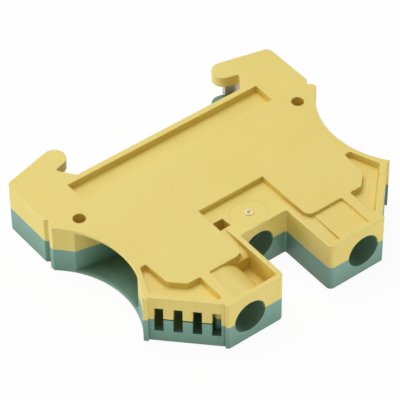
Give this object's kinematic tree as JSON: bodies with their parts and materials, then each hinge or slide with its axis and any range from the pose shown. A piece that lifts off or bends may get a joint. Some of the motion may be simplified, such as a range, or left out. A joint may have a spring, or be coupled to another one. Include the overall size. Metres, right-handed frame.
{
  "type": "earth terminal block",
  "caption": "Two-tone rail-mounted earth terminal block with screw clamps for conductors on both sides and a centre screw that draws steel jaws onto the rail",
  "frame": {"origin": "the middle of the rail seat's edge in the plane of the green outer face, which the block lies on", "axes": "X runs along the block across the rail, Y from the screw towers towards the rail, Z through the thickness and along the rail"},
  "size_m": [0.057, 0.0488, 0.0099],
  "materials": {
    "yellow_plastic": "fine satin moulded polyamide",
    "green_plastic": "fine satin moulded polyamide",
    "plated_copper": "tin-plated copper alloy bar",
    "plated_steel": "zinc-plated bent strip",
    "screw_steel": "zinc-plated turned steel"
  },
  "bodies": {
    "block": {"upper_shell": "yellow_plastic", "lower_shell": "green_plastic", "current_bar": "plated_copper", "contact_saddle": "plated_steel"},
    "clamp_screw_left": {"clamp_screw_left": "screw_steel"},
    "clamp_screw_right": {"clamp_screw_right": "screw_steel"},
    "clamp_yoke_left": {"clamp_yoke_left": "plated_steel"},
    "clamp_yoke_right": {"clamp_yoke_right": "plated_steel"},
    "rail_screw": {"rail_screw": "screw_steel"},
    "draw_plate": {"draw_plate": "plated_steel"},
    "rail_jaw_left": {"rail_jaw_left": "plated_steel"},
    "rail_jaw_right": {"rail_jaw_right": "plated_steel"}
  },
  "joints": [
    {"name": "clamp_yoke_left_lift", "type": "slide", "parent": "block", "child": "clamp_yoke_left", "axis": [0, -1, 0], "range_m": [0, 0.005]},
    {"name": "clamp_screw_left_turn", "type": "hinge", "parent": "block", "child": "clamp_screw_left", "pos_m": [-0.01206, -0.034, 0.00495], "axis": [0, 1, 0], "range_deg": [0, 2572]},
    {"name": "clamp_yoke_right_lift", "type": "slide", "parent": "block", "child": "clamp_yoke_right", "axis": [0, -1, 0], "range_m": [0, 0.005]},
    {"name": "clamp_screw_right_turn", "type": "hinge", "parent": "block", "child": "clamp_screw_right", "pos_m": [0.01206, -0.034, 0.00495], "axis": [0, 1, 0], "range_deg": [0, 2572]},
    {"name": "draw_plate_lift", "type": "slide", "parent": "block", "child": "draw_plate", "axis": [0, -1, 0], "range_m": [0, 0.0059]},
    {"name": "rail_screw_turn", "type": "hinge", "parent": "block", "child": "rail_screw", "pos_m": [-0.00095, -0.0235, 0.00495], "axis": [0, 1, 0], "range_deg": [0, 3540]},
    {"name": "rail_jaw_left_close", "type": "slide", "parent": "block", "child": "rail_jaw_left", "axis": [0.4161, -0.9093, 0], "range_m": [0, 0.00649]},
    {"name": "rail_jaw_right_close", "type": "slide", "parent": "block", "child": "rail_jaw_right", "axis": [-0.4161, -0.9093, 0], "range_m": [0, 0.00649]}
  ],
  "couplings": [
    {"joint": "clamp_screw_left_turn", "follows": "clamp_yoke_left_lift", "rad_per_m": 8976},
    {"joint": "clamp_screw_right_turn", "follows": "clamp_yoke_right_lift", "rad_per_m": 8976},
    {"joint": "rail_screw_turn", "follows": "draw_plate_lift", "rad_per_m": 10472},
    {"joint": "rail_jaw_left_close", "follows": "draw_plate_lift", "ratio": 1.0997},
    {"joint": "rail_jaw_right_close", "follows": "draw_plate_lift", "ratio": 1.0997}
  ]
}
